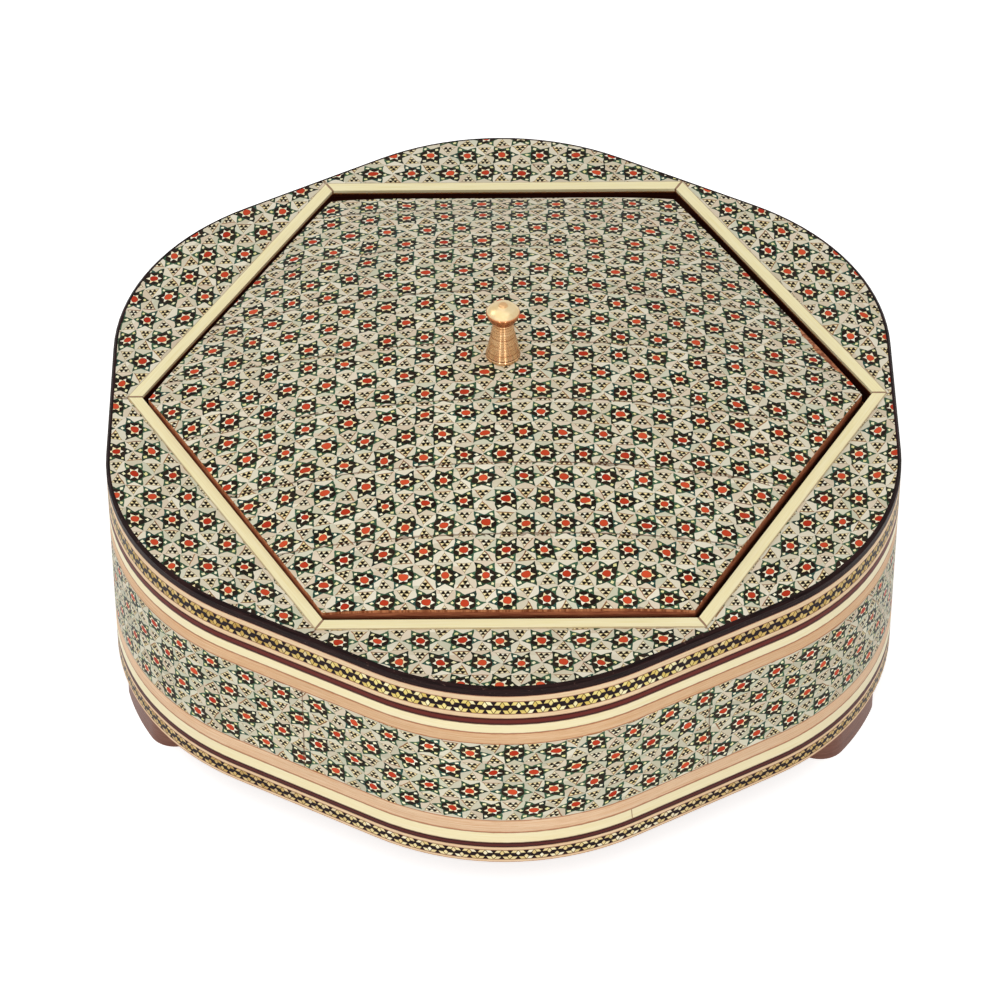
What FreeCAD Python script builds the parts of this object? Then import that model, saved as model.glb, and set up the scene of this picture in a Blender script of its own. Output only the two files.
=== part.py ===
import FreeCAD, Part
import math
import os

# Inlaid sweets box, millimetres. +Z is up, the front faces -Y, and the origin is under the middle of
# the feet. The outline is a hexagon with broadly rounded corners, and its flats lie at 0, 60, 120... degrees.

# Outline of the box
flat_reach = 115.6
corner_radius = 74.6

# Carcass
foot_height = 11.0
skin = 1.2
wall = 8.0
base_board = 5.0
top_board = 6.0
ledge_board = 4.0
ledge_width = 10.0

# Bands round the wall, from the rim down
rim_edging_height = 2.9
upper_light_outer_height = 2.1
upper_braid_height = 4.8
upper_light_inner_height = 1.8
upper_dark_height = 2.4
upper_bone_height = 3.5
upper_tan_height = 4.4
side_khatam_height = 30.6
lower_tan_height = 5.0
lower_bone_height = 4.2
lower_dark_height = 1.8
lower_light_inner_height = 1.3
lower_braid_height = 3.7
lower_light_outer_height = 1.1
rim_chamfer = 0.6

# Top veneer and the bone frame round the opening, which is set a little off the middle by hand
veneer = 1.0
frame_corner_margin = 1.3
frame_end_push = 1.75
bone_width = 3.6
bone_proud = 0.4
frame_shift_x = 1.3
frame_shift_y = 0.55

# Lid, a loose hexagon with a dome that is round in the middle and nearly level along its edge. It lies
# towards the front of its opening, and its khatam strips are laid a little askew.
lid_front_gap = 1.9
lid_back_gap = 6.4
lid_shift_x = -0.6
lid_seat_gap = 0.3
dome_rise = 16.6
lid_edge_rise = 2.2
lid_corner_sink = 0.8
dome_steps = 12
lid_strip_count = 8
lid_back_strip = 8.3
lid_front_strip = 23.9
lid_strip_turn = 0.95
lid_glue_line = 0.1

# Turned brass knob and its screw, a little off the middle of the lid
knob_shift_x = -0.7
knob_shift_y = 1.3
knob_height = 19.7
knob_base_radius = 5.1
knob_base_height = 1.2
knob_stem_radius = 4.7
knob_neck_radius = 3.2
knob_neck_height = 13.0
knob_collar = 0.3
knob_collar_height = 1.0
knob_head_radius = 4.9
knob_head_middle = 16.1
knob_top_radius = 1.5
screw_radius = 2.0
screw_clearance = 0.2
screw_depth_in_knob = 8.0
screw_head_radius = 3.6
screw_head_height = 2.4

# Bracket feet, each set a little along its corner by hand
foot_setback = 1.5
foot_depth = 14.0
foot_length = 38.0
foot_end_rounding = 8.0
foot_slips = {
    "back_right": 0.0,
    "back_left": 0.0,
    "front_left": -10.5,
    "front_right": 1.0,
}

# Levels and reaches that follow from the sizes above
upper_bands = [
    ("upper_light_outer", upper_light_outer_height),
    ("upper_braid", upper_braid_height),
    ("upper_light_inner", upper_light_inner_height),
    ("upper_dark", upper_dark_height),
    ("upper_bone", upper_bone_height),
    ("upper_tan", upper_tan_height),
]
lower_bands = [
    ("lower_tan", lower_tan_height),
    ("lower_bone", lower_bone_height),
    ("lower_dark", lower_dark_height),
    ("lower_light_inner", lower_light_inner_height),
    ("lower_braid", lower_braid_height),
    ("lower_light_outer", lower_light_outer_height),
]
wall_bottom = foot_height
wall_bands_height = sum(height for name, height in upper_bands + lower_bands) + side_khatam_height
rim_bottom = wall_bottom + wall_bands_height
top = rim_bottom + rim_edging_height
board_top = top - veneer
board_bottom = board_top - top_board
corner_names = ("back_right", "back", "back_left", "front_left", "front", "front_right")
half_corner = 180.0 / len(corner_names)
flat_to_corner = 1.0 / math.cos(math.radians(half_corner))
corner_middle = (flat_reach - corner_radius) * flat_to_corner
frame_middle = (frame_shift_x, frame_shift_y)
frame_corner = flat_reach - skin - frame_corner_margin - math.hypot(frame_shift_x, frame_shift_y)
frame_reach = frame_corner / flat_to_corner
opening_reach = frame_reach - bone_width
lid_reach = opening_reach + frame_end_push - (lid_front_gap + lid_back_gap) / 2
lid_middle = (frame_shift_x + lid_shift_x, frame_shift_y - (lid_back_gap - lid_front_gap) / 2)
lid_corner = lid_reach * flat_to_corner
lid_bottom = board_bottom + lid_seat_gap
lid_crown = dome_rise - lid_edge_rise
corner_fall = 1.0 + lid_corner_sink / lid_crown
round_share = (corner_fall + flat_to_corner ** 6) / (flat_to_corner ** 2 + flat_to_corner ** 6)
knob_middle = (lid_middle[0] + knob_shift_x, lid_middle[1] + knob_shift_y)
knob_bottom = top + dome_rise
corner_angles = {name: half_corner * (2 * k + 1) for k, name in enumerate(corner_names)}
origin = FreeCAD.Vector(0, 0, 0)
upwards = FreeCAD.Vector(0, 0, 1)


def point(radius, degrees, z=0.0, middle=(0.0, 0.0)):
    """A point at a distance and a direction from a vertical axis."""
    angle = math.radians(degrees)
    return FreeCAD.Vector(middle[0] + radius * math.cos(angle), middle[1] + radius * math.sin(angle), z)


def outline(inset, z):
    """The box's outline, moved inwards by an inset."""
    edges = []
    radius = corner_radius - inset
    last = None
    first = None
    for corner in corner_angles.values():
        centre = point(corner_middle, corner, z)
        arc_points = [centre + point(radius, corner + turn) for turn in (-half_corner, 0, half_corner)]
        if last is None:
            first = arc_points[0]
        else:
            edges.append(line(last, arc_points[0]))
        edges.append(Part.Arc(*arc_points).toShape())
        last = arc_points[2]
    edges.append(line(last, first))
    return Part.Wire(edges)


def hexagon(reach, z, middle, end_push=0.0):
    """Corners near 0, 60, 120... degrees of a hexagon, whose front and back flats may lie further out."""
    turn = math.radians(half_corner)
    tip = reach * flat_to_corner
    depth = reach + end_push
    half_end = (reach - depth * math.sin(turn)) / math.cos(turn)
    right = [(tip, 0.0), (half_end, depth)]
    left = [(-half_end, depth), (-tip, 0.0), (-half_end, -depth)]
    places = right + left + [(half_end, -depth)]
    return [FreeCAD.Vector(middle[0] + x, middle[1] + y, z) for x, y in places]


def frame_hexagon(reach, z):
    """Corners of the bone frame or of the opening in it."""
    return hexagon(reach, z, frame_middle, frame_end_push)


def closed(corners):
    """A wire through corners and back to the first."""
    return Part.makePolygon(corners + corners[:1])


def prism(wire, height):
    """A flat wire raised into a solid."""
    return Part.Face(wire).extrude(upwards * height)


def outline_ring(outer_inset, inner_inset, z, height):
    """A ring that follows the box's outline."""
    return prism(outline(outer_inset, z), height).cut(prism(outline(inner_inset, z), height))


def sector(corner, z, height):
    """A 60 degree wedge round one corner of the box, used to part a ring into six."""
    far = 2 * (flat_reach + corner_radius)
    sides = [point(far, corner + turn, z) for turn in (-half_corner, half_corner)]
    return prism(closed([point(0.0, 0.0, z)] + sides), height)


def line(start, end):
    """A straight edge."""
    return Part.LineSegment(start, end).toShape()


def export(shape, name):
    """Write one piece, a single clean solid, to its own file."""
    piece = shape.Solids[0].removeSplitter()
    if len(shape.Solids) != 1 or not piece.isValid():
        raise ValueError(name + " is not one sound solid")
    piece.exportStep("parts/" + name + ".step")


def build_carcass():
    """Base board, six wall staves, ledge board and top board."""
    inner_inset = skin + wall
    export(prism(outline(inner_inset, wall_bottom), base_board), "base_board")

    stave_height = board_bottom - wall_bottom
    ring = outline_ring(skin, inner_inset, wall_bottom, stave_height)
    for name, corner in corner_angles.items():
        export(ring.common(sector(corner, wall_bottom, stave_height)), "wall_" + name)

    ledge_bottom = board_bottom - ledge_board
    ledge_hole = frame_hexagon(opening_reach - ledge_width, ledge_bottom)
    ledge = prism(outline(inner_inset, ledge_bottom), ledge_board)
    export(ledge.cut(prism(closed(ledge_hole), ledge_board)), "ledge_board")

    board = prism(outline(skin, board_bottom), top_board)
    opening = prism(closed(frame_hexagon(opening_reach, board_bottom)), top_board)
    export(board.cut(opening), "top_board")


def build_top():
    """Khatam veneers on the flat top and the mitred bone strips round the opening."""
    field = prism(outline(skin, board_top), veneer)
    inner = frame_hexagon(opening_reach, board_top)
    outer = frame_hexagon(frame_reach, board_top)
    mitre_run = flat_reach / bone_width
    far = [corner + (corner - inside) * mitre_run for corner, inside in zip(outer, inner)]
    for k, name in enumerate(corner_names):
        after = (k + 1) % len(corner_names)
        sheet = [outer[k], far[k], far[after], outer[after]]
        strip = [inner[k], outer[k], outer[after], inner[after]]
        export(field.common(prism(closed(sheet), veneer)), "top_khatam_" + name)
        export(prism(closed(strip), veneer + bone_proud), "bone_frame_" + name)


def build_wall_bands():
    """The rim edging and the bands under it, each wrapped round the carcass."""
    rim = outline_ring(0.0, skin, rim_bottom, rim_edging_height)
    top_line = outline(0.0, top)
    top_outer_edges = []
    for edge in rim.Edges:
        middle = edge.valueAt((edge.FirstParameter + edge.LastParameter) / 2)
        if top_line.distToShape(Part.Vertex(middle))[0] < skin / 2:
            top_outer_edges.append(edge)
    export(rim.makeChamfer(rim_chamfer, top_outer_edges), "rim_edging")

    level = rim_bottom
    for name, height in upper_bands:
        level -= height
        export(outline_ring(0.0, skin, level, height), name)

    level -= side_khatam_height
    sheet = outline_ring(0.0, skin, level, side_khatam_height)
    for name, corner in corner_angles.items():
        export(sheet.common(sector(corner, level, side_khatam_height)), "side_khatam_" + name)

    for name, height in lower_bands:
        level -= height
        export(outline_ring(0.0, skin, level, height), name)


def dome_fall(x, y):
    """How far the dome lies under its crown, as a share of the crown, at a place beside the lid's middle."""
    across = x / lid_reach
    along = y / lid_reach
    six_fold = (complex(along, across) ** 6).real
    return round_share * (across ** 2 + along ** 2) + (1.0 - round_share) * six_fold


def under_dome(depth):
    """A block that fills the room under the dome, or under a level that lies a depth below it."""
    half = lid_corner + veneer
    steps = [half * (2.0 * k / dome_steps - 1.0) for k in range(dome_steps + 1)]
    level = knob_bottom - depth
    rows = []
    for x in steps:
        heights = [level - lid_crown * dome_fall(x, y) for y in steps]
        spots = [(lid_middle[0] + x, lid_middle[1] + y, z) for y, z in zip(steps, heights)]
        rows.append([FreeCAD.Vector(*spot) for spot in spots])
    surface = Part.BSplineSurface()
    surface.interpolate(rows)
    return surface.toShape().extrude(upwards * (lid_bottom - knob_bottom))


def lid_block():
    """The lid's hexagonal plan, raised higher than its dome."""
    corners = hexagon(lid_reach, lid_bottom, lid_middle)
    return prism(closed(corners), knob_bottom + veneer - lid_bottom)


def build_lid():
    """The lid's core and the strips of khatam laid over its dome."""
    hole_foot = point(0.0, 0.0, lid_bottom, knob_middle)
    bore = Part.makeCylinder(screw_radius + screw_clearance, knob_bottom - lid_bottom + veneer, hole_foot)
    seat_radius = screw_head_radius + screw_clearance
    head_seat = Part.makeCylinder(seat_radius, screw_head_height + screw_clearance, hole_foot)
    core = lid_block().common(under_dome(veneer + lid_glue_line))
    export(core.cut(bore).cut(head_seat), "lid_core")

    skin_over_dome = lid_block().common(under_dome(0.0)).cut(under_dome(veneer)).cut(bore)
    first_seam = lid_reach - lid_back_strip
    last_seam = lid_front_strip - lid_reach
    pitch = (first_seam - last_seam) / (lid_strip_count - 2)
    seams = [first_seam - pitch * k for k in range(lid_strip_count - 1)]
    edges = [lid_corner] + seams + [-lid_corner]
    axis = point(0.0, 0.0, 0.0, lid_middle)
    height = knob_bottom + veneer - lid_bottom
    for k in range(lid_strip_count):
        place = axis + FreeCAD.Vector(-2 * lid_corner, edges[k + 1], lid_bottom)
        cutter = Part.makeBox(4 * lid_corner, edges[k] - edges[k + 1], height, place)
        cutter.rotate(axis, upwards, lid_strip_turn)
        export(skin_over_dome.common(cutter), "lid_khatam_" + str(k + 1))


def knob_profile():
    """Half of the knob's outline: base ring, flared stem with a collar under the neck, and a ball head."""
    axis_foot = point(0.0, 0.0, knob_bottom)
    axis_top = point(0.0, 0.0, knob_bottom + knob_height)
    base_low = point(knob_base_radius, 0.0, knob_bottom)
    base_high = point(knob_base_radius, 0.0, knob_bottom + knob_base_height)
    stem_foot = point(knob_stem_radius, 0.0, base_high.z)
    neck = point(knob_neck_radius, 0.0, knob_bottom + knob_neck_height)
    collar_foot = neck + (stem_foot - neck) * (knob_collar_height / (neck.z - stem_foot.z))
    collar = (collar_foot + neck) * 0.5 + point(knob_collar, 0.0)
    shoulder = point(knob_head_radius, 0.0, knob_bottom + knob_head_middle)
    head_top = point(knob_top_radius, 0.0, axis_top.z)
    ball_z = (head_top.dot(head_top) - shoulder.dot(shoulder)) / (2 * (head_top.z - shoulder.z))
    ball_middle = point(0.0, 0.0, ball_z)
    crown_way = (shoulder + head_top) * 0.5 - ball_middle
    crown = ball_middle + crown_way * ((shoulder - ball_middle).Length / crown_way.Length)
    edges = [
        line(axis_foot, base_low),
        line(base_low, base_high),
        line(base_high, stem_foot),
        line(stem_foot, collar_foot),
        line(collar_foot, collar),
        line(collar, neck),
        line(neck, shoulder),
        Part.Arc(shoulder, crown, head_top).toShape(),
        line(head_top, axis_top),
        line(axis_top, axis_foot),
    ]
    return Part.Wire(edges)


def build_knob():
    """The turned knob and the screw that holds it from under the lid."""
    axis_place = point(0.0, 0.0, 0.0, knob_middle)
    knob = Part.Face(knob_profile()).revolve(origin, upwards, 360)
    knob.translate(axis_place)
    thread_foot = point(0.0, 0.0, knob_bottom, knob_middle)
    export(knob.cut(Part.makeCylinder(screw_radius, screw_depth_in_knob, thread_foot)), "knob")

    head_bottom = point(0.0, 0.0, lid_bottom + screw_clearance, knob_middle)
    shank_height = knob_bottom + screw_depth_in_knob - head_bottom.z
    head = Part.makeCylinder(screw_head_radius, screw_head_height, head_bottom)
    shank = Part.makeCylinder(screw_radius, shank_height, head_bottom)
    export(head.fuse(shank), "knob_screw")


def foot_bracket():
    """One foot, bent round a corner's own middle, with rounded ends."""
    outer = corner_radius - foot_setback
    inner = outer - foot_depth
    half_turn = math.degrees(foot_length / outer) / 2
    outer_points = [point(outer, turn) for turn in (-half_turn, 0.0, half_turn)]
    inner_points = [point(inner, turn) for turn in (half_turn, 0.0, -half_turn)]
    edges = [
        Part.Arc(*outer_points).toShape(),
        line(outer_points[-1], inner_points[0]),
        Part.Arc(*inner_points).toShape(),
        line(inner_points[-1], outer_points[0]),
    ]
    bar = prism(Part.Wire(edges), foot_height)
    end_edges = []
    for edge in bar.Edges:
        middle = edge.CenterOfMass
        upright = math.isclose(edge.Length, foot_height) and math.isclose(middle.z, foot_height / 2)
        if upright and math.hypot(middle.x, middle.y) > (outer + inner) / 2:
            end_edges.append(edge)
    return bar.makeFillet(foot_end_rounding, end_edges)


def build_feet():
    """Bracket feet that follow the rounded corners."""
    bracket = foot_bracket()
    for name, slip in foot_slips.items():
        corner = corner_angles[name]
        foot = bracket.copy()
        foot.rotate(origin, upwards, corner + math.degrees(slip / corner_radius))
        foot.translate(point(corner_middle, corner))
        export(foot, "foot_" + name)


os.makedirs("parts", exist_ok=True)
build_carcass()
build_top()
build_wall_bands()
build_lid()
build_knob()
build_feet()
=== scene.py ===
import math

import bpy
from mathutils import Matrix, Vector


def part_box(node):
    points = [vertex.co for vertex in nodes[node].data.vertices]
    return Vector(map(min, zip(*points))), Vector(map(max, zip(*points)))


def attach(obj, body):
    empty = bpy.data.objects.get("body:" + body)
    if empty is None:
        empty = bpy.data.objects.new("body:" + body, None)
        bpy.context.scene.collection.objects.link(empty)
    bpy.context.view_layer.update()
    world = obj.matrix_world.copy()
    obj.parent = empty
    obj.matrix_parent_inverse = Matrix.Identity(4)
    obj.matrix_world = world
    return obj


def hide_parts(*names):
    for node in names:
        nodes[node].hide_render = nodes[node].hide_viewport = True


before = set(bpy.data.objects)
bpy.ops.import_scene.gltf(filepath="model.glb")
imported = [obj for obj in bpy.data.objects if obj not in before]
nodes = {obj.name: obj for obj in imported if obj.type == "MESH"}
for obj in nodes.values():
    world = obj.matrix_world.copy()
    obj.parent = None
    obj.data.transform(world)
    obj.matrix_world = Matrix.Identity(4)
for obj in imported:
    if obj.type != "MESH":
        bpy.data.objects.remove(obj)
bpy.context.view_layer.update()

MM = 0.001
ROOT3 = math.sqrt(3.0)
ROW = ROOT3 / 2
CORNERS = ("front", "front_right", "back_right", "back", "back_left", "front_left")
STEP = 360 / len(CORNERS)
FRONT = 270

# Plan of the box, taken from the frame

wall_low, wall_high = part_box("upper_bone")
flat_reach = (wall_high.x - wall_low.x) / 2
corner_reach = (wall_high.y - wall_low.y) / 2
half_turn = math.radians(STEP / 2)
corner_middle = (corner_reach - flat_reach) / (1 - math.cos(half_turn))
corner_radius = corner_reach - corner_middle
half_arc = corner_radius * half_turn
perimeter = len(CORNERS) * (2 * half_arc + corner_middle)

front_low, front_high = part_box("bone_frame_front")
back_low, back_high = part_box("bone_frame_back")
left_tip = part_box("bone_frame_front_left")[0].x
right_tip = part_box("bone_frame_front_right")[1].x
bone_width = front_high.y - front_low.y
frame_middle = Vector(((left_tip + right_tip) / 2, (front_low.y + back_high.y) / 2, 0))
frame_corners = (
    Vector((front_low.x, front_low.y, 0)),
    Vector((front_high.x, front_low.y, 0)),
    Vector((right_tip, frame_middle.y, 0)),
    Vector((back_high.x, back_high.y, 0)),
    Vector((back_low.x, back_high.y, 0)),
    Vector((left_tip, frame_middle.y, 0)),
)


def corner_angle(corner):
    """Direction of a corner in the plan, in radians."""
    return math.radians(FRONT + STEP * CORNERS.index(corner))


def nearest_corner(point):
    """Number of the corner nearest to a point, counted from the front one to the right."""
    turn = math.degrees(math.atan2(point.y, point.x)) - FRONT + 360
    return round(turn / STEP)


def along_wall(point, number):
    """Length along the wall from the middle of the front corner, in metres, read from a numbered corner."""
    angle = math.radians(FRONT + STEP * number)
    out = point.x * math.cos(angle) + point.y * math.sin(angle) - corner_middle
    side = point.y * math.cos(angle) - point.x * math.sin(angle)
    bend = math.atan2(side, out)
    run = corner_radius * bend
    if abs(bend) > half_turn:
        flat = abs(side) * math.cos(half_turn) - out * math.sin(half_turn)
        run = math.copysign(half_arc + flat, side)
    return run + number * perimeter / len(CORNERS)


def beside_frame(corner):
    """A rule that turns a point into lengths along and out from one side of the bone frame."""
    angle = corner_angle(corner)

    def rule(point):
        away = point - frame_middle
        along = away.y * math.cos(angle) - away.x * math.sin(angle)
        out = away.x * math.cos(angle) + away.y * math.sin(angle)
        return along, out

    return rule


def lay_uv(name, layer, rule, period=0.0):
    """Writes one coordinate layer on a node; period closes a layer that runs round the wall."""
    mesh = nodes[name].data
    spots = mesh.uv_layers.new(name=layer).data
    for face in mesh.polygons:
        pairs = [rule(mesh.vertices[index].co) for index in face.vertices]
        first = pairs[0][0]
        for loop, (u, v) in zip(face.loop_indices, pairs):
            if period:
                u += period * round((first - u) / period)
            spots[loop].uv = (u, v)


# Star rows of the khatam, in millimetres; a slip is the shift of the stars along a sheet in star spacings

STAR_SPACING = 11.4
RING_ROW = 8.75
RING_FIRST_ROW = 4.8
RING_SLIP = 0.5
RING_FRONT_SLIPS = {"front": -0.25, "front_left": 0.25}
LID_ROW = 8.1
LID_ROW_DROP = 0.9
LID_SLIPS = (0.0, 0.0, 0.0, 0.5, 0.5, 0.5, 0.0, 0.5)
LID_STRIP_TURN = 0.95
LID_SLOPE = math.tan(math.radians(LID_STRIP_TURN))
WALL_STAR_SPACING = 11.9
WALL_ROWS = 4
WALL_SLIP = 0.64
SHEET_SHIFT = 40
LID_FIRST_SHEET = 8

lid_low, lid_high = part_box("lid_core")
lid_middle = (lid_low + lid_high) / 2
lid_flat = (lid_high.y - lid_low.y) / 2

# Bare stretch along the lid's edge: its place, length and width in millimetres
BARE_PLACE = -30.0
BARE_LENGTH = 34.0
BARE_WIDTH = 1.5


def star_rule(place, spacing, rows, slip, first_row, sheet):
    """Coordinates in star spacings; each sheet has its own part of the lattice, so no two are alike."""

    def rule(point):
        along, out = place(point)
        u = along / MM / spacing - slip + SHEET_SHIFT * sheet
        v = (out / MM - first_row) / rows * ROW
        return u, v

    return rule


def mitre_rule(corner):
    """Distances to the two mitred ends of a piece beside the frame, in millimetres."""
    first = CORNERS.index(corner)
    starts = (frame_corners[first], frame_corners[(first + 1) % len(CORNERS)])
    turns = (corner_angle(corner) - half_turn, corner_angle(corner) + half_turn)

    def rule(point):
        gaps = []
        for start, turn in zip(starts, turns):
            away = (point - start) / MM
            gaps.append(away.y * math.cos(turn) - away.x * math.sin(turn))
        return gaps[0], -gaps[1]

    return rule


def band_rule(name):
    """Length along the wall and height above the band's lower edge, in millimetres."""
    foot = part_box(name)[0].z

    def rule(point):
        return along_wall(point, nearest_corner(point)) / MM, (point.z - foot) / MM

    return rule


def edge_rule(place, corner):
    """Distances from the inner edge of a bone strip and from its outer edge, in millimetres."""
    outer = place(frame_corners[CORNERS.index(corner)])[1]

    def rule(point):
        out = place(point)[1]
        return (out - outer + bone_width) / MM, (outer - out) / MM

    return rule


def on_sheet(corner):
    """The middle of a corner's wall sheet, and a rule for lengths along and up the wall, in metres."""
    angle = corner_angle(corner)
    middle = Vector((math.cos(angle), math.sin(angle), 0))
    number = nearest_corner(middle)

    def rule(point):
        return along_wall(point, number), point.z

    return along_wall(middle, number), rule


def on_lid(point):
    """Lengths along and across the lid's strips, in metres."""
    return point.x, point.y - LID_SLOPE * point.x


def span_rule(place, axis, low, high):
    """Distances to the two ends of a sheet that runs from low to high, in millimetres."""

    def rule(point):
        spot = place(point)[axis]
        return (spot - low) / MM, (high - spot) / MM

    return rule


def span_on_lid(name):
    """Where a strip of the lid begins and ends across the strips, in metres."""
    across = [on_lid(vertex.co)[1] for vertex in nodes[name].data.vertices]
    return min(across), max(across)


half_sheet = perimeter / len(CORNERS) / 2
for sheet, corner in enumerate(CORNERS):
    place = beside_frame(corner)
    side = "side_khatam_" + corner
    ring = "top_khatam_" + corner
    strip = "bone_frame_" + corner
    side_low, side_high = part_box(side)
    wall_row = (side_high.z - side_low.z) / MM / WALL_ROWS
    wall_first_row = side_low.z / MM + wall_row / 2
    middle, on_wall = on_sheet(corner)
    lay_uv(side, "inlay", star_rule(on_wall, WALL_STAR_SPACING, wall_row, WALL_SLIP, wall_first_row, 0))
    lay_uv(side, "trim", span_rule(on_wall, 0, middle - half_sheet, middle + half_sheet))
    ring_first_row = place(frame_corners[sheet])[1] / MM + RING_FIRST_ROW
    ring_slip = RING_FRONT_SLIPS.get(corner, RING_SLIP)
    lay_uv(ring, "inlay", star_rule(place, STAR_SPACING, RING_ROW, ring_slip, ring_first_row, 1 + sheet))
    lay_uv(ring, "trim", mitre_rule(corner))
    lay_uv(strip, "trim", mitre_rule(corner))
    lay_uv(strip, "edge", edge_rule(place, corner))

lid_strips = ["lid_khatam_%d" % number for number in range(1, len(LID_SLIPS) + 1)]
lid_spans = [span_on_lid(name) for name in lid_strips]
strip_width = max(high - low for low, high in lid_spans)
for number, (name, slip, (low, high)) in enumerate(zip(lid_strips, LID_SLIPS, lid_spans)):
    strip_middle = high - strip_width / 2 if number else low + strip_width / 2
    lid_first_row = strip_middle / MM - LID_ROW_DROP
    sheet = LID_FIRST_SHEET + number
    lay_uv(name, "inlay", star_rule(on_lid, STAR_SPACING, LID_ROW, slip, lid_first_row, sheet))
    lay_uv(name, "trim", span_rule(on_lid, 1, low, high))

bands = [name for name in nodes if name.startswith(("upper_", "lower_", "rim_"))]
for name in bands:
    lay_uv(name, "band", band_rule(name), perimeter / MM)


# Shader sums

class Wire:
    """A value in a shader tree that can be used in ordinary sums."""

    def __init__(self, tree, socket):
        self.tree = tree
        self.socket = socket

    def __add__(self, other):
        return work(self.tree, "ADD", self, other)

    def __radd__(self, other):
        return work(self.tree, "ADD", other, self)

    def __sub__(self, other):
        return work(self.tree, "SUBTRACT", self, other)

    def __rsub__(self, other):
        return work(self.tree, "SUBTRACT", other, self)

    def __mul__(self, other):
        return work(self.tree, "MULTIPLY", self, other)

    def __rmul__(self, other):
        return work(self.tree, "MULTIPLY", other, self)

    def __truediv__(self, other):
        return work(self.tree, "DIVIDE", self, other)

    def __mod__(self, other):
        return work(self.tree, "FLOORED_MODULO", self, other)

    def __lt__(self, other):
        return work(self.tree, "LESS_THAN", self, other)

    def __gt__(self, other):
        return work(self.tree, "GREATER_THAN", self, other)

    def __abs__(self):
        return work(self.tree, "ABSOLUTE", self)

    def __floor__(self):
        return work(self.tree, "FLOOR", self)


def feed(tree, socket, value):
    """Links a wire to a socket, or sets the socket to a plain value."""
    if isinstance(value, Wire):
        tree.links.new(value.socket, socket)
    else:
        socket.default_value = value


def work(tree, operation, *values):
    """One sum node."""
    made = tree.nodes.new("ShaderNodeMath")
    made.operation = operation
    for socket, value in zip(made.inputs, values):
        feed(tree, socket, value)
    return Wire(tree, made.outputs[0])


def least(*values):
    """The smallest of several wires."""
    result = values[0]
    for value in values[1:]:
        result = work(result.tree, "MINIMUM", result, value)
    return result


def most(*values):
    """The largest of several wires."""
    result = values[0]
    for value in values[1:]:
        result = work(result.tree, "MAXIMUM", result, value)
    return result


def near(value):
    """The whole number nearest to a wire."""
    return math.floor(value + 0.5)


def smooth(value, low, high):
    """Zero below low, one above high, eased between them."""
    tree = value.tree
    made = tree.nodes.new("ShaderNodeMapRange")
    made.interpolation_type = "SMOOTHSTEP"
    feed(tree, made.inputs["Value"], value)
    made.inputs["From Min"].default_value = low
    made.inputs["From Max"].default_value = high
    return Wire(tree, made.outputs["Result"])


def join(tree, x, y=0.0, z=0.0):
    """A vector from three values."""
    made = tree.nodes.new("ShaderNodeCombineXYZ")
    for socket, value in zip(made.inputs, (x, y, z)):
        feed(tree, socket, value)
    return Wire(tree, made.outputs[0])


def split(vector):
    """The three parts of a vector."""
    made = vector.tree.nodes.new("ShaderNodeSeparateXYZ")
    feed(vector.tree, made.inputs[0], vector)
    return [Wire(vector.tree, socket) for socket in made.outputs]


def chart(tree, layer):
    """The two coordinates of one laid layer."""
    made = tree.nodes.new("ShaderNodeUVMap")
    made.uv_map = layer
    return split(Wire(tree, made.outputs[0]))[:2]


def body_place(tree):
    """Place on the object, in millimetres."""
    made = tree.nodes.new("ShaderNodeTexCoord")
    return [part / MM for part in split(Wire(tree, made.outputs["Object"]))]


def cloud(vector, scale, detail=2.0, roughness=0.5):
    """Soft noise between 0 and 1."""
    made = vector.tree.nodes.new("ShaderNodeTexNoise")
    feed(vector.tree, made.inputs["Vector"], vector)
    made.inputs["Scale"].default_value = scale
    made.inputs["Detail"].default_value = detail
    made.inputs["Roughness"].default_value = roughness
    return Wire(vector.tree, made.outputs[0])


def clouds(vector, scale, detail=0.0):
    """Three soft noises that don't agree with each other."""
    made = vector.tree.nodes.new("ShaderNodeTexNoise")
    feed(vector.tree, made.inputs["Vector"], vector)
    made.inputs["Scale"].default_value = scale
    made.inputs["Detail"].default_value = detail
    return split(Wire(vector.tree, made.outputs[1]))


def lot(tree, x, y, z=0.0):
    """Three numbers drawn for one whole-numbered place."""
    made = tree.nodes.new("ShaderNodeTexWhiteNoise")
    made.noise_dimensions = "3D"
    feed(tree, made.inputs["Vector"], join(tree, x, y, z))
    return split(Wire(tree, made.outputs["Color"]))


def paint(text):
    """A colour written as on screen, for a shader."""
    parts = [int(text[i:i + 2], 16) / 255 for i in (1, 3, 5)]
    linear = [p / 12.92 if p <= 0.04045 else ((p + 0.055) / 1.055) ** 2.4 for p in parts]
    return (*linear, 1.0)


def lay(under, mask, over):
    """One colour laid over another where the mask is one."""
    tree = mask.tree
    made = tree.nodes.new("ShaderNodeMix")
    made.data_type = "RGBA"
    feed(tree, made.inputs[0], mask)
    feed(tree, made.inputs[6], under if isinstance(under, Wire) else paint(under))
    feed(tree, made.inputs[7], over if isinstance(over, Wire) else paint(over))
    return Wire(tree, made.outputs[2])


def shade(colour, factor):
    """A colour made darker or lighter by a wire."""
    tree = factor.tree
    made = tree.nodes.new("ShaderNodeVectorMath")
    made.operation = "SCALE"
    feed(tree, made.inputs[0], colour if isinstance(colour, Wire) else paint(colour)[:3])
    feed(tree, made.inputs["Scale"], factor)
    return Wire(tree, made.outputs[0])


def finish_of(name, metal=0.0, level=0.4):
    """An empty material with its surface shader."""
    material = bpy.data.materials.new(name)
    material.use_nodes = True
    tree = material.node_tree
    surface = tree.nodes["Principled BSDF"]
    surface.inputs["Metallic"].default_value = metal
    surface.inputs["Specular IOR Level"].default_value = level
    return material, tree, surface


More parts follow.
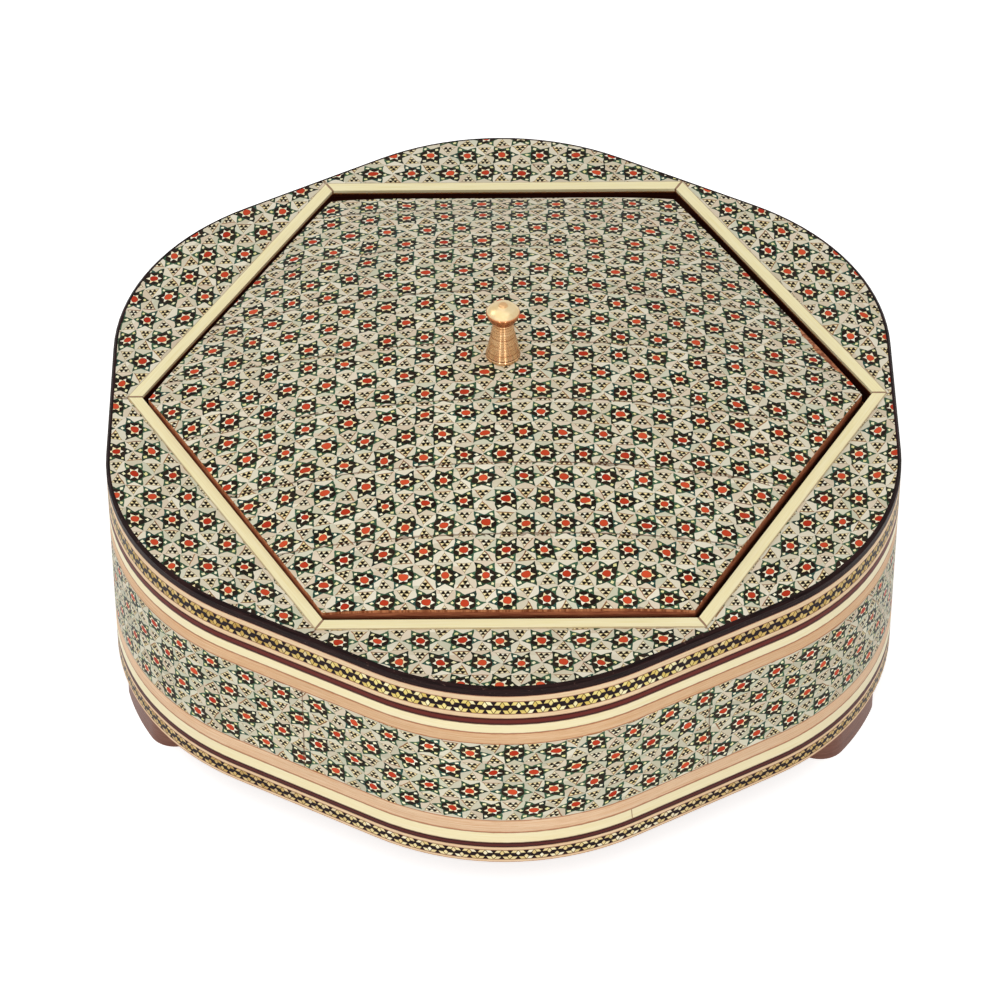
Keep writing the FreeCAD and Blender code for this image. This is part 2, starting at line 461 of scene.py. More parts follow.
def dress(tree, surface, colour, roughness, height, depth):
    """Links colour, roughness and relief; depth is the relief in metres."""
    feed(tree, surface.inputs["Base Color"], colour)
    feed(tree, surface.inputs["Roughness"], roughness)
    bump = tree.nodes.new("ShaderNodeBump")
    bump.inputs["Strength"].default_value = 1.0
    bump.inputs["Distance"].default_value = depth
    feed(tree, bump.inputs["Height"], height)
    feed(tree, surface.inputs["Normal"], Wire(tree, bump.outputs[0]))


# Khatam: six-pointed stars between pale hexagons that hold small triangles, in star spacings

STAR_REACH = 0.486
BODY_ACROSS = 0.246
BODY_REACH = 0.258
BEAD_START = 0.260
BEAD_END = 0.370
CREAM_RIM = 0.218
CREAM_REACH = 0.210
HEART_RIM = 0.116
HEART_REACH = 0.106
TRIANGLE_SIDE = 0.37

# How far the hand-laid pieces stray: whole rows, single stars, their cut edges and the hexagons
DRIFT_ALONG = 0.20
DRIFT_ACROSS = 0.16
STAR_STRAY = 0.04
STAR_TWIST = 0.14
CUT_STRAY = 0.08
HEX_STRAY = 0.05
HEX_LEAN = 0.24
KHATAM_RELIEF = 0.06 * MM


def upright_share(tree):
    """One on faces that stand upright, zero on faces that lie flat."""
    made = tree.nodes.new("ShaderNodeNewGeometry")
    return smooth(abs(split(Wire(tree, made.outputs["True Normal"]))[2]), 0.6, 0.4)


def bare_edge(tree, ragged):
    """One where the inlay has worn off along the back of the lid's right side."""
    x, y = body_place(tree)[:2]
    away_x = x - lid_middle.x / MM
    away_y = y - lid_middle.y / MM
    edge = lid_flat / MM - away_x * ROW - away_y * 0.5
    along = away_y * ROW - away_x * 0.5
    share = smooth(abs(along - BARE_PLACE), BARE_LENGTH / 2, BARE_LENGTH / 6)
    ragged_width = share * BARE_WIDTH + (ragged - 0.5) * 3.0
    return smooth(edge - ragged_width, 0.3, 0.0) * (edge > -1.0) * smooth(share, 0.0, 0.1)


def khatam_finish(name, bones, side_tone=None):
    """Star inlay drawn in the sheet's own star spacings; side_tone is the wood on the sheet's cut edges."""
    material, tree, surface = finish_of(name, level=0.06)
    u, v = chart(tree, "inlay")
    drift = clouds(join(tree, u, v), 0.75)
    cut = clouds(join(tree, u, v, 3.0), 4.5)
    x = u + (drift[0] - 0.5) * DRIFT_ALONG
    y = v + (drift[1] - 0.5) * DRIFT_ACROSS

    # nearest star
    x_even = x - near(x)
    y_even = y - near(y / ROOT3) * ROOT3
    x_odd = x - math.floor(x) - 0.5
    y_odd = y - (math.floor(y / ROOT3) + 0.5) * ROOT3
    odd = (x_odd * x_odd + y_odd * y_odd) < (x_even * x_even + y_even * y_even)
    near_x = x_even + odd * (x_odd - x_even)
    near_y = y_even + odd * (y_odd - y_even)
    star_id = (near((x - near_x) * 2), near((y - near_y) / ROW))
    star_lot = lot(tree, *star_id)
    sector = math.radians(60)
    slice_number = math.floor(work(tree, "ARCTAN2", near_y, near_x) / sector)

    # each star sits a little askew
    star_x = near_x + (star_lot[0] - 0.5) * STAR_STRAY + (cut[0] - 0.5) * CUT_STRAY
    star_y = near_y + (star_lot[1] - 0.5) * STAR_STRAY + (cut[1] - 0.5) * CUT_STRAY
    reach = work(tree, "SQRT", star_x * star_x + star_y * star_y)
    turn = work(tree, "ARCTAN2", star_y, star_x) + (star_lot[2] - 0.5) * STAR_TWIST
    point_number = near(turn / sector)
    fold = turn - point_number * sector
    tip = reach * work(tree, "COSINE", fold)
    off = reach * abs(work(tree, "SINE", fold))
    star_depth = tip + off * ROOT3

    # pale hexagon between three stars, and its triangle of nine bits
    spoke = (slice_number + 0.5) * sector
    hex_x = near_x - work(tree, "COSINE", spoke) / ROOT3
    hex_y = near_y - work(tree, "SINE", spoke) / ROOT3
    hex_id = (near((x - hex_x) * 2), near((y - hex_y) * 2 * ROOT3))
    hex_lot = lot(tree, *hex_id, 0.37)
    up = (slice_number % 2) * 2 - 1
    lean = (hex_lot[2] - 0.5) * HEX_LEAN
    shift_x = hex_x + (hex_lot[0] + cut[1] - 1.0) * HEX_STRAY
    shift_y = hex_y + (hex_lot[1] + cut[2] - 1.0) * HEX_STRAY
    side = shift_x - shift_y * lean
    rise = (shift_y + shift_x * lean) * up
    tall = TRIANGLE_SIDE * ROW
    bary = [
        (rise + tall / 3) / tall,
        (side * -ROW - rise * 0.5 + tall / 3) / tall,
        (side * ROW - rise * 0.5 + tall / 3) / tall,
    ]
    depth = least(*bary)
    parts = [part * 3 for part in bary]
    count = math.floor(parts[0]) + math.floor(parts[1]) + math.floor(parts[2])
    black_bit = count < 1.5
    to_lines = [abs(part - near(part)) for part in parts]
    bit_edge = smooth(least(*to_lines), 0.15, 0.07)

    # bone ground, cut in three round the triangle, each bit with its own tint
    round_hex = (work(tree, "ARCTAN2", rise, side) + math.radians(30)) / math.radians(120)
    third = math.floor(round_hex)
    bit_lot = lot(tree, hex_id[0], hex_id[1], third)
    bone = lay(bones[0], bit_lot[0], bones[1])
    bone = lay(bone, smooth(bit_lot[1], 0.66, 0.80) * 0.45, "#DCC2A8")
    bone = lay(bone, smooth(bit_lot[2], 0.76, 0.88) * 0.5, "#C2C8AE")
    bone = lay(bone, smooth(bit_lot[1], 0.16, 0.08) * 0.5, "#EEE6D0")
    to_joint = abs(round_hex - near(round_hex)) * work(tree, "SQRT", rise * rise + side * side)
    joint = smooth(to_joint, 0.007, 0.002) * (depth < 0.0)
    bone = lay(bone, joint * 0.3, "#8E7A5C")

    # thin brown slips beside some of the triangles
    slips = None
    for index, chance in enumerate(lot(tree, *hex_id, 0.81)):
        others = [bary[(index + 1) % 3], bary[(index + 2) % 3]]
        slip = (abs(bary[index] + 0.03) < 0.04) * (least(*others) > -0.06) * (chance > 0.76)
        slips = slip if slips is None else most(slips, slip)
    end_bit = (most(*bary) > 0.667) * hex_lot[1] * 0.6
    cream_bit = lay(lay("#FFE8A4", bit_lot[1], "#FFFAE0"), end_bit, "#E8CE96")
    cream_bit = lay(cream_bit, bit_edge * 0.8, "#321C0A")
    triangle = lay(cream_bit, black_bit, "#150A03")
    colour = lay(bone, (depth > -0.03) * 0.5, "#A2763C")
    colour = lay(colour, slips * 0.9, lay("#7A3E1C", hex_lot[0], "#A86E34"))
    colour = lay(colour, depth > 0.0, triangle)

    # star: dark green points with a pale bead each, black body, cream points and red heart
    point_lot = lot(tree, star_id[0], star_id[1], point_number + 7.0)
    green = lay("#223624", point_lot[0], "#436449")
    green = lay(green, smooth(point_lot[1], 0.78, 0.86) * 0.7, "#274A46")
    green = lay(green, smooth(point_lot[2], 0.72, 0.80) * 0.8, "#1C1811")
    bead = off < least((tip - BEAD_START) * 0.9, (BEAD_END - tip) * 1.1)
    star = lay(green, bead, lay("#EAE29C", point_lot[1], "#FFFADA"))
    body = (tip < BODY_ACROSS) * (reach < BODY_REACH)
    star = lay(star, body, lay("#1A1008", star_lot[2], "#2E2218"))
    star = lay(star, star_depth < CREAM_RIM, "#6A4018")
    star = lay(star, star_depth < CREAM_REACH, lay("#FFEBB0", point_lot[0], "#FFFCE8"))
    star = lay(star, reach < HEART_RIM, lay("#6E1C0C", star_lot[1], "#983216"))
    star = lay(star, reach < HEART_REACH, lay("#B42E16", star_lot[0], "#DC5632"))
    colour = lay(colour, star_depth < STAR_REACH, star)

    # brown glue at the seams of the sheets, and uneven lacquer
    seam_a, seam_b = chart(tree, "trim")
    chips = cloud(join(tree, u, v, 6.0), 2.6, 2.0)
    wander = cloud(join(tree, u, v), 1.3) * 0.35 + smooth(chips, 0.56, 0.74) * 0.7
    seam = smooth(least(seam_a, seam_b) - wander, 0.10, 0.02)
    colour = lay(colour, seam * 0.6, "#5A321C")
    veil = cloud(join(tree, u, v), 0.35, 3.0)
    colour = shade(colour, veil * 0.22 + 0.89)
    if side_tone:
        grain = cloud(join(tree, u * 1.4, v * 1.4, drift[2]), 6.0, 4.0, 0.7)
        fibre = lay("#7E4228", smooth(grain, 0.36, 0.62), side_tone)
        colour = lay(colour, most(upright_share(tree), bare_edge(tree, chips)), fibre)
    fine = cloud(join(tree, u, v), 9.0, 3.0)
    roughness = veil * 0.16 + fine * 0.08 + 0.28
    tilt = (hex_lot[0] - 0.5) * hex_x + (hex_lot[1] - 0.5) * hex_y
    height = fine * 0.3 + veil * 1.6 - seam * 0.8 + tilt * 2.5 - bit_edge * (depth > 0.0) * 0.1
    dress(tree, surface, colour, roughness, height, KHATAM_RELIEF)
    return material


# Braid: half rosettes of three gold petals along both edges, on a dark ground

PETAL = 2.5
BRAID_TALL = 4.1
ROSETTE_SPACING = 4.6
ROSETTE_START = 0.8
# lengths along the wall from the front corner where the braid's painted shade begins and where it is
# fullest, in millimetres
BRIGHT_REACH = 34.0
SHADED_REACH = 80.0


def braid_finish(name, tall, golds):
    """Braid of one band, its gold brightest at the front corner and dulled by painted shade along the
    sides, with painted highlights on some petals and painted shade at the petal rims; tall is the band's
    height in millimetres.
    """
    material, tree, surface = finish_of(name, level=0.08)
    along, rise = chart(tree, "band")
    drift = clouds(join(tree, along, rise), 0.11)
    along = along + (drift[0] - 0.5) * 0.9 - ROSETTE_START
    upper = rise > tall / 2
    shift = along / ROSETTE_SPACING + upper * 0.5
    cell = near(shift)
    across = (shift - cell) * ROSETTE_SPACING
    down = (upper * (tall - rise * 2) + rise) * (BRAID_TALL / tall)
    reach = work(tree, "SQRT", across * across + down * down)
    turn = work(tree, "ARCTAN2", down, across)
    sector = math.radians(60)
    fold = turn % sector - sector / 2
    along_petal = reach * work(tree, "COSINE", fold)
    off = reach * abs(work(tree, "SINE", fold))
    petal = least(along_petal - 0.08, PETAL - along_petal) / ROOT3 - off - 0.01
    petal_lot = lot(tree, cell, math.floor(turn / sector), upper)
    gold = lay(golds[0], petal_lot[0], golds[1])
    # painted highlights: some petals take the palest gold
    gold = lay(gold, smooth(petal_lot[1], 0.5, 0.9) * 0.8, golds[2])
    # painted shade: the gold dulls with distance from the front corner
    side_shade = smooth(abs(along), BRIGHT_REACH, SHADED_REACH) * 0.7
    gold = lay(gold, side_shade, lay("#A67A36", petal_lot[0], "#DAB26A"))
    # painted shade at the rim of every petal
    gold = lay("#9A7430", smooth(petal, 0.02, 0.14), gold)
    ground = lay("#0C0508", cloud(join(tree, along, rise), 2.5), "#241016")
    mask = smooth(petal, -0.01, 0.05)
    colour = lay(ground, mask, gold)
    edge = smooth(least(rise, tall - rise), 0.22, 0.08)
    colour = lay(colour, edge * 0.5, "#3A2018")
    fine = cloud(join(tree, along, rise), 3.0, 3.0)
    colour = shade(colour, fine * 0.3 + 0.84)
    dress(tree, surface, colour, fine * 0.2 + 0.28, mask * 0.4 + fine, 0.04 * MM)
    return material


# Plain strips round the wall

def strip_finish(name, tall, tones, edge_tone, edge_width, ripple, centre_tone=None):
    """A wooden strip with fibres along it and darker glue lines at its edges."""
    material, tree, surface = finish_of(name, level=0.1)
    along, rise = chart(tree, "band")
    fibres = cloud(join(tree, along * 0.045, rise * 3.2), 1.0, 5.0, 0.65)
    streaks = cloud(join(tree, along * 0.16, rise * 9.0, 4.0), 1.0, 3.0, 0.6)
    patches = cloud(join(tree, along * 0.02, rise * 0.15, 9.0), 1.0, 2.0)
    colour = lay(tones[0], smooth(fibres, 0.30, 0.70), tones[1])
    colour = lay(colour, smooth(streaks, 0.52, 0.72) * 0.75, tones[2])
    if centre_tone:
        middle = smooth(abs(rise / tall - 0.5) + (fibres - 0.5) * 0.2, 0.36, 0.12)
        colour = lay(colour, middle * 0.85, centre_tone)
    colour = shade(colour, patches * 0.24 + 0.88)
    wobble = cloud(join(tree, along * 0.35, rise * 0.5, 2.0), 1.0, 3.0) * ripple
    edge = smooth(least(rise, tall - rise) - wobble, edge_width, edge_width * 0.2)
    colour = lay(colour, edge * 0.8, edge_tone)
    dress(tree, surface, colour, fibres * 0.2 + 0.36, fibres + streaks - edge * 0.8, 0.05 * MM)
    return material


def bone_band_finish(name, tall, joint):
    """A cream bone strip with brown glue lines and a butt joint; joint is its place along the wall."""
    material, tree, surface = finish_of(name, level=0.4)
    along, rise = chart(tree, "band")
    fibres = cloud(join(tree, along * 0.06, rise * 2.4), 1.0, 4.0, 0.6)
    patches = cloud(join(tree, along * 0.03, rise * 0.2, 5.0), 1.0, 2.0)
    colour = lay("#EEDDA8", smooth(fibres, 0.25, 0.70), "#F6EAC2")
    colour = lay(colour, smooth(patches, 0.45, 0.75) * 0.45, "#F2E4C0")
    wobble = cloud(join(tree, along * 0.4, rise * 0.5, 2.0), 1.0, 3.0) * 0.3
    edge = smooth(least(rise, tall - rise) - wobble, 0.16, 0.03)
    butt = smooth(abs(along - joint + rise * 0.1), 0.22, 0.08)
    edge = most(edge, butt)
    colour = lay(colour, edge * 0.8, "#8A5230")
    dress(tree, surface, colour, fibres * 0.16 + 0.30, fibres - edge, 0.04 * MM)
    return material


def bone_frame_finish():
    """The frame's bone strips: fibres along each strip, brown glue at the mitres and outer edge."""
    material, tree, surface = finish_of("frame_bone", level=0.45)
    inner, outer = chart(tree, "edge")
    end_a, end_b = chart(tree, "trim")
    run = end_a - end_b
    fibres = cloud(join(tree, run * 0.04, inner * 2.2), 1.0, 4.0, 0.6)
    patches = cloud(join(tree, run * 0.02, inner * 0.2, 5.0), 1.0, 2.0)
    colour = lay("#F6E7AA", smooth(fibres, 0.25, 0.70), "#FEF3C6")
    colour = lay(colour, smooth(patches, 0.45, 0.75) * 0.5, "#F4E4B4")
    wobble = cloud(join(tree, run * 0.2, inner * 0.3, 2.0), 1.0, 3.0) * 0.25
    edge = smooth(outer - wobble, 0.16, 0.03)
    mitre = smooth(least(end_a, end_b) - wobble, 0.30, 0.10)
    colour = lay(colour, most(edge * 0.5, mitre * 0.85), "#7A4526")
    rough_saw = cloud(join(tree, run, inner), 0.8, 4.0)
    stain = lay("#6E3416", smooth(rough_saw, 0.36, 0.62), "#C27E44")
    rise = body_place(tree)[2] - front_low.z / MM
    soaked = smooth(rise - rough_saw * 0.7, 0.12, -0.04)
    colour = lay(colour, upright_share(tree) * (inner < outer) * soaked, stain)
    dress(tree, surface, colour, fibres * 0.16 + 0.28, fibres - mitre, 0.04 * MM)
    return material


# Boards, feet, lid core and metal; the knob's heights are shares of its whole height

STEM_FOOT = 0.075
STEM_TOP = 0.652
HEAD_RIM = 0.850
BUTTON_FOOT = 0.968


def board_finish(name, tones, run, gap_shade=None):
    """Plain wood; run stretches the fibres, and painted shade of a gap darkens the wood towards the lower
    of two given heights.
    """
    material, tree, surface = finish_of(name, level=0.15)
    x, y, z = body_place(tree)
    place = join(tree, x * run[0], y * run[1], z * run[2])
    fibres = cloud(place, 1.0, 6.0, 0.65)
    pores = cloud(join(tree, x * run[0] * 4, y * run[1] * 4, z * run[2] * 4), 1.0, 3.0, 0.6)
    patches = cloud(join(tree, x * 0.02, y * 0.02, z * 0.03), 1.0, 3.0)
    colour = lay(tones[0], smooth(fibres, 0.28, 0.72), tones[1])
    colour = lay(colour, smooth(pores, 0.58, 0.76) * 0.7, tones[2])
    colour = shade(colour, patches * 0.35 + 0.82)
    if gap_shade:
        # painted shade of the gap round the lid: darker towards the lower height
        colour = lay(colour, smooth(z - fibres * 0.6, gap_shade[1], gap_shade[0]) * 0.85, "#1E0C07")
    dress(tree, surface, colour, fibres * 0.25 + 0.30, fibres + pores * 0.6, 0.08 * MM)
    return material


def rim_finish():
    """Nearly black rim edging with worn specks."""
    material, tree, surface = finish_of("rim_wood", level=0.06)
    along, rise = chart(tree, "band")
    fibres = cloud(join(tree, along * 0.08, rise * 2.0), 1.0, 4.0, 0.6)
    specks = cloud(join(tree, along * 0.55, rise * 1.3, 3.0), 1.0, 5.0, 0.75)
    colour = lay("#100707", smooth(fibres, 0.3, 0.7), "#2E1A19")
    colour = lay(colour, smooth(specks, 0.60, 0.68) * 0.6, "#6E5048")
    dress(tree, surface, colour, fibres * 0.25 + 0.28, fibres - specks * 0.4, 0.1 * MM)
    return material


def brass_finish(foot, tall):
    """Turned brass: a brushed rose stem that draws light into upright streaks, with darker ring lines that
    are painted shade of its grooves, a reddish band under the head that is painted reflection of the lid
    and painted shade, and a pale polished head.
    """
    material, tree, surface = finish_of("brass", metal=1.0, level=0.5)
    surface.inputs["Anisotropic Rotation"].default_value = 0.25
    x, y, z = body_place(tree)
    rise = (z * MM - foot) / tall
    head = smooth(rise, HEAD_RIM + 0.005, HEAD_RIM + 0.025)
    # painted reflection of the reddish lid and painted shade under the head
    under = smooth(rise, STEM_TOP - 0.002, STEM_TOP + 0.004) * (1.0 - head)
    rings = cloud(join(tree, 0.0, 0.0, z * 1.7), 1.0, 3.0, 0.75)
    stain = cloud(join(tree, x * 0.25, y * 0.25, z * 0.5), 1.0, 4.0, 0.6)
    colour = lay("#DEAC7A", smooth(stain, 0.3, 0.7), "#ECC292")
    # painted shade of the turned grooves: darker ring lines drawn in colour
    colour = lay(colour, smooth(rings, 0.50, 0.62) * 0.75, "#A8683E")
    colour = lay(colour, smooth(abs(rise - STEM_FOOT + 0.003), 0.010, 0.004), "#7E4526")
    # reddish band under the head: painted reflection and painted shade
    colour = lay(colour, under, "#C27C50")
    colour = lay(colour, head, lay("#D6BA88", smooth(stain, 0.3, 0.7), "#E2CCA0"))
    colour = lay(colour, smooth(rise, BUTTON_FOOT - 0.006, BUTTON_FOOT + 0.002), "#D2A878")
    tangent = tree.nodes.new("ShaderNodeTangent")
    tangent.direction_type = "RADIAL"
    tangent.axis = "Z"
    feed(tree, surface.inputs["Tangent"], Wire(tree, tangent.outputs[0]))
    feed(tree, surface.inputs["Anisotropic"], 0.95 - head * 0.95)
    roughness = 0.24 + head * 0.04 + stain * 0.06
    dress(tree, surface, colour, roughness, rings * 0.3 + stain, 0.002 * MM)
    return material


def steel_finish():
    """Zinc-grey screw under the lid."""
    material, tree, surface = finish_of("screw_steel", metal=1.0, level=0.5)
    x, y, z = body_place(tree)
    stain = cloud(join(tree, x, y, z), 0.8, 4.0, 0.6)
    fine = cloud(join(tree, x * 0.4, y * 4.0, z * 2.0), 1.0, 3.0)
    colour = lay("#77746C", smooth(stain, 0.3, 0.7), "#A9A69C")
    dress(tree, surface, colour, fine * 0.25 + 0.25, fine, 0.03 * MM)
    return material


def cover(material, *names):
    """Gives nodes one finish."""
    for name in names:
        mesh = nodes[name].data
        mesh.materials.clear()
        mesh.materials.append(material)


def height_of(name):
    """Height of a band, in millimetres."""
    low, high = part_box(name)
    return (high.z - low.z) / MM


# Tones of each finish; a wood has its ground, its fibres and its streaks

COOL_BONE = ("#BFBAA3", "#DED8C2")
WARM_BONE = ("#D5CAAF", "#EFE7D1")
LID_EDGE = "#C27E56"
FOOT_WOOD = ("#6E483C", "#885E50", "#50322A")
LID_WOOD = ("#7A3A26", "#B46E4A", "#4E2014")
CARCASS_WOOD = ("#7A4A2C", "#93603C", "#5A3420")
# wood of the opening under the bone frame, darkened to near black as painted shade of the recess
MOUTH_SHADED_WOOD = ("#2A100A", "#421C10", "#160806")
LIGHT_WOOD = ("#E4C298", "#F4DCB8", "#D2A478")
TAN_WOOD = {
    "upper_": ("#D6A678", "#E8C6A0", "#BA8454"),
    "lower_": ("#DCAE86", "#F0D3B1", "#C6935F"),
}
DARK_WOOD = {
    "upper_": ("#36100C", "#4E1A15", "#200806"),
    "lower_": ("#28100E", "#3C1614", "#180808"),
}
DARK_HEART = {"upper_": "#6C271F", "lower_": "#5A241F"}
# each band's gold tones; the last is a painted highlight
GOLDS = {
    "upper_": ("#DCC064", "#FAEA9A", "#FFFAD2"),
    "lower_": ("#E2C888", "#F8E8B4", "#FFF8DC"),
}
BONE_JOINTS = {"upper_": 210.0, "lower_": 37.6}
TAN_GLUE = "#A85C34"
DARK_GLUE = "#1C0A0A"
LIGHT_GLUE = "#A8664A"

wall_sheets = [name for name in nodes if name.startswith("side_khatam")]
flat_sheets = [name for name in nodes if name.startswith(("top_khatam", "lid_khatam"))]
cover(khatam_finish("wall_khatam", COOL_BONE), *wall_sheets)
cover(khatam_finish("flat_khatam", WARM_BONE, LID_EDGE), *flat_sheets)
cover(bone_frame_finish(), *["bone_frame_" + corner for corner in CORNERS])
cover(rim_finish(), "rim_edging")
for band in ("upper_", "lower_"):
    braid, tan, dark, bone = [band + kind for kind in ("braid", "tan", "dark", "bone")]
    cover(braid_finish(braid, height_of(braid), GOLDS[band]), braid)
    cover(strip_finish(tan, height_of(tan), TAN_WOOD[band], TAN_GLUE, 0.30, 0.35), tan)
    heart = DARK_HEART[band]
    cover(strip_finish(dark, height_of(dark), DARK_WOOD[band], DARK_GLUE, 0.35, 0.2, heart), dark)
    for light in (band + "light_outer", band + "light_inner"):
        cover(strip_finish(light, height_of(light), LIGHT_WOOD, LIGHT_GLUE, 0.16, 0.25), light)
    cover(bone_band_finish(bone, height_of(bone), BONE_JOINTS[band]), bone)

feet = [name for name in nodes if name.startswith("foot_")]
walls = ["wall_" + corner for corner in CORNERS]
cover(board_finish("foot_wood", FOOT_WOOD, run=(0.10, 0.10, 1.4)), *feet)
frame_top = front_high.z / MM
# heights on the lid's edge over which its painted gap shade deepens
lid_gap_shade = (frame_top - 2.6, frame_top - 0.7)
cover(board_finish("lid_wood", LID_WOOD, run=(0.16, 0.16, 1.8), gap_shade=lid_gap_shade), "lid_core")
cover(board_finish("carcass_wood", CARCASS_WOOD, run=(0.05, 0.5, 0.5)), *walls, "base_board")
# the opening's boards take near-black wood: painted shade of the recess
cover(board_finish("mouth_shaded_wood", MOUTH_SHADED_WOOD, run=(0.06, 0.06, 1.6)), "top_board", "ledge_board")
cover(steel_finish(), "knob_screw")


# Knob: a turned brass pull, ringed along its stem

knob_low, knob_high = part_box("knob")
knob_middle = (knob_low + knob_high) / 2
knob_reach = (knob_high.x - knob_low.x) / 2
knob_tall = knob_high.z - knob_low.z
STEM_RINGS = 14
RING_STEPS = 6
HEAD_STEPS = 14
RING_SEGMENTS = 96


def knob_outline():
    """Radius and height up the knob, in metres."""
    reach, tall = knob_reach, knob_tall
    line = [(0.0, 0.0), (0.92 * reach, 0.0), (0.98 * reach, 0.010 * tall), (reach, 0.028 * tall)]
    line += [(reach, 0.050 * tall), (0.985 * reach, 0.062 * tall), (0.965 * reach, 0.068 * tall)]
    stem_foot, stem_top = STEM_FOOT * tall, STEM_TOP * tall
    foot_radius, top_radius = 0.970 * reach, 0.555 * reach
    groove = 0.004 * reach
    steps = STEM_RINGS * RING_STEPS
    for index in range(steps + 1):
        part = index / steps
        ring = abs(math.sin(math.pi * STEM_RINGS * part))
        flare = foot_radius + (top_radius - foot_radius) * part ** 0.94
        line.append((flare - groove * (1 - ring), stem_foot + (stem_top - stem_foot) * part))
    line += [(0.540 * reach, 0.656 * tall), (0.575 * reach, 0.662 * tall)]
    line += [(0.680 * reach, 0.685 * tall), (0.765 * reach, 0.712 * tall), (0.845 * reach, 0.745 * tall)]
    line += [(0.900 * reach, 0.778 * tall), (0.940 * reach, 0.812 * tall), (0.958 * reach, 0.835 * tall)]
    low, high = HEAD_RIM * tall, BUTTON_FOOT * tall
    rim_reach, top_reach = 0.962 * reach, 0.25 * reach
    for index in range(HEAD_STEPS + 1):
        part = index / HEAD_STEPS
        swell = 0.06 * math.sin(math.pi * part) * reach
        line.append((rim_reach + (top_reach - rim_reach) * part + swell, low + (high - low) * part + swell))
    line += [(0.245 * reach, 0.974 * tall), (0.235 * reach, 0.987 * tall), (0.190 * reach, 0.996 * tall)]
    line += [(0.10 * reach, tall), (0.0, tall)]
    return line


def lathe(name, line, segments, axis):
    """A solid of revolution about a vertical axis."""
    points = []
    faces = []
    rings = []
    for radius, height in line:
        if radius == 0.0:
            rings.append([len(points)])
            points.append((axis.x, axis.y, axis.z + height))
            continue
        rings.append(list(range(len(points), len(points) + segments)))
        for index in range(segments):
            turn = 2 * math.pi * index / segments
            out = Vector((radius * math.cos(turn), radius * math.sin(turn), height))
            points.append(tuple(axis + out))
    for lower, upper in zip(rings, rings[1:]):
        for index in range(segments):
            after = (index + 1) % segments
            if len(lower) == 1:
                faces.append((lower[0], upper[after], upper[index]))
            elif len(upper) == 1:
                faces.append((lower[index], lower[after], upper[0]))
            else:
                faces.append((lower[index], lower[after], upper[after], upper[index]))
    mesh = bpy.data.meshes.new(name)
    mesh.from_pydata(points, [], faces)
    mesh.polygons.foreach_set("use_smooth", [True] * len(mesh.polygons))
    made = bpy.data.objects.new(name, mesh)
    bpy.context.collection.objects.link(made)
    return made


knob_foot = Vector((knob_middle.x, knob_middle.y, knob_low.z))
knob = lathe("turned_knob", knob_outline(), RING_SEGMENTS, knob_foot)
knob.data.materials.append(brass_finish(knob_low.z, knob_tall))
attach(knob, "lid")
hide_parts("knob")


# Floor, light and camera

FLOOR_REACH = 3.0
FLOOR_GLOW = 0.68
WORLD_LIGHT = 0.55
LAMP_AIM = Vector((0.0, 0.0, 0.06))

# Each lamp's azimuth and elevation in degrees, its distance, width and height in metres, and its power
LAMPS = {
    "top_softbox": (-20, 70, 1.6, 2.4, 2.0, 9.0),
    "front_fill": (0, 25, 1.8, 1.8, 0.7, 0.6),
    "left_strip": (-21, 12, 1.3, 0.04, 0.4, 2.1),
    "right_strip": (14, 12, 1.3, 0.04, 0.4, 2.3),
    "left_panel": (-108, 41, 1.3, 0.5, 0.5, 1.6),
}

CAMERA_LENS = 188.06
CAMERA_PLACE = (-0.0115, -1.1488, 1.1009)
CAMERA_TILT = 47.26
CAMERA_TURN = -0.53


def seen_rays(tree):
    """One for rays from the camera and for mirrored or passed rays, zero for the light they gather."""
    made = tree.nodes.new("ShaderNodeLightPath")
    names = ("Is Camera Ray", "Is Glossy Ray", "Is Transmission Ray")
    return most(*[Wire(tree, made.outputs[name]) for name in names])


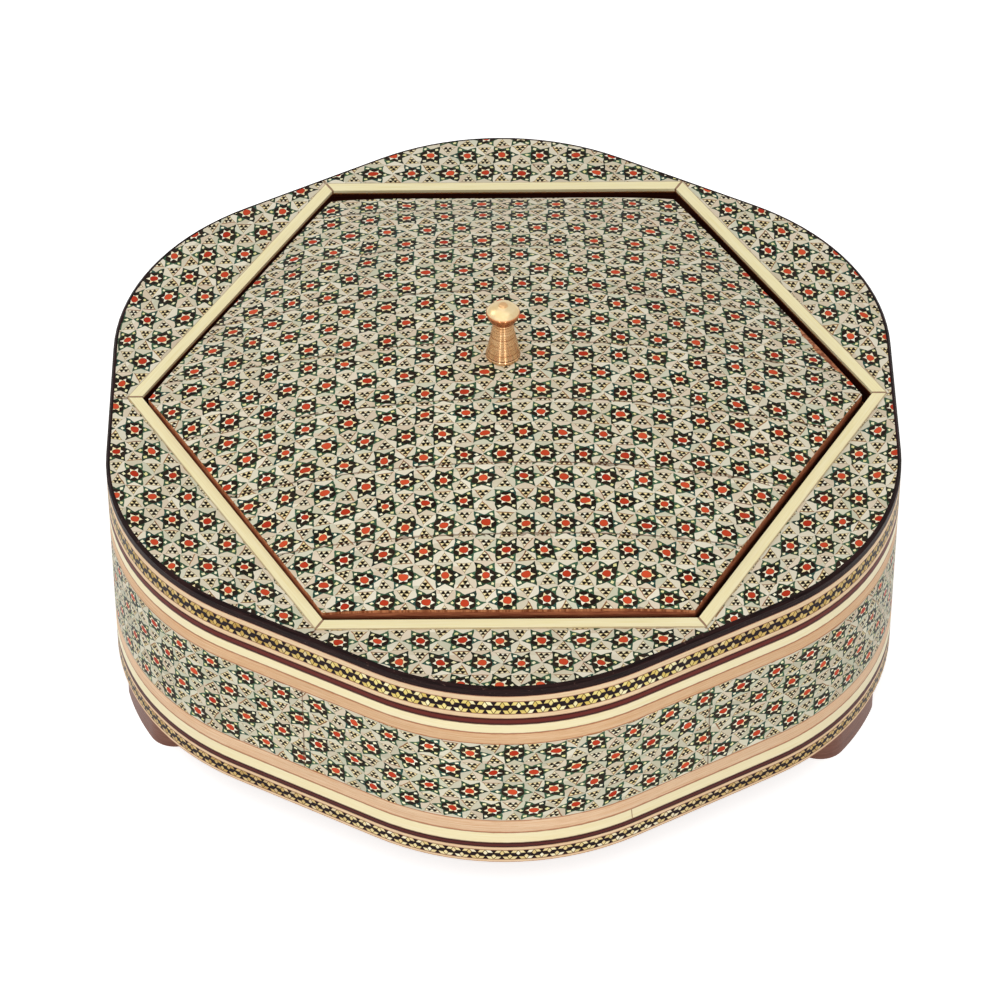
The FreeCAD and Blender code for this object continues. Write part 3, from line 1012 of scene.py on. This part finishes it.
def make_floor():
    """A plain pale floor that keeps the soft shadow of the box."""
    mesh = bpy.data.meshes.new("floor")
    signs = ((-1, -1), (1, -1), (1, 1), (-1, 1))
    corners = [(x * FLOOR_REACH, y * FLOOR_REACH, 0.0) for x, y in signs]
    mesh.from_pydata(corners, [], [(0, 1, 2, 3)])
    floor = bpy.data.objects.new("floor", mesh)
    bpy.context.collection.objects.link(floor)
    material, tree, surface = finish_of("floor", level=0.0)
    x, y, z = body_place(tree)
    tone = cloud(join(tree, x, y, z), 0.004)
    feed(tree, surface.inputs["Base Color"], lay("#E8E8E6", tone, "#ECECEA"))
    surface.inputs["Roughness"].default_value = 0.9
    surface.inputs["Emission Color"].default_value = (1.0, 1.0, 1.0, 1.0)
    feed(tree, surface.inputs["Emission Strength"], seen_rays(tree) * FLOOR_GLOW)
    mesh.materials.append(material)


def make_world():
    """Even studio surroundings, white where they are seen."""
    world = bpy.data.worlds.new("studio")
    world.use_nodes = True
    bpy.context.scene.world = world
    tree = world.node_tree
    ground = tree.nodes["Background"]
    ground.inputs["Color"].default_value = (1.0, 1.0, 1.0, 1.0)
    feed(tree, ground.inputs["Strength"], seen_rays(tree) * (1.0 - WORLD_LIGHT) + WORLD_LIGHT)


def make_lamp(name, azimuth, elevation, distance, width, tall, power):
    """A flat lamp that looks at the middle of the box."""
    data = bpy.data.lights.new(name, "AREA")
    data.shape = "RECTANGLE"
    data.size = width
    data.size_y = tall
    data.energy = power
    lamp = bpy.data.objects.new(name, data)
    around = math.radians(azimuth)
    up = math.radians(elevation)
    away = Vector((math.sin(around) * math.cos(up), -math.cos(around) * math.cos(up), math.sin(up)))
    lamp.location = LAMP_AIM + away * distance
    lamp.rotation_mode = "QUATERNION"
    lamp.rotation_quaternion = (-away).to_track_quat("-Z", "Y")
    bpy.context.collection.objects.link(lamp)


def make_camera():
    """The camera at the photograph's viewing angle."""
    data = bpy.data.cameras.new("camera")
    data.lens = CAMERA_LENS
    data.sensor_width = 36.0
    data.clip_start = 0.05
    data.clip_end = 20.0
    camera = bpy.data.objects.new("camera", data)
    camera.location = CAMERA_PLACE
    camera.rotation_euler = (math.radians(CAMERA_TILT), 0.0, math.radians(CAMERA_TURN))
    bpy.context.collection.objects.link(camera)
    bpy.context.scene.camera = camera


make_floor()
make_world()
for name, setting in LAMPS.items():
    make_lamp(name, *setting)
make_camera()

bpy.context.scene.view_settings.view_transform = "Standard"
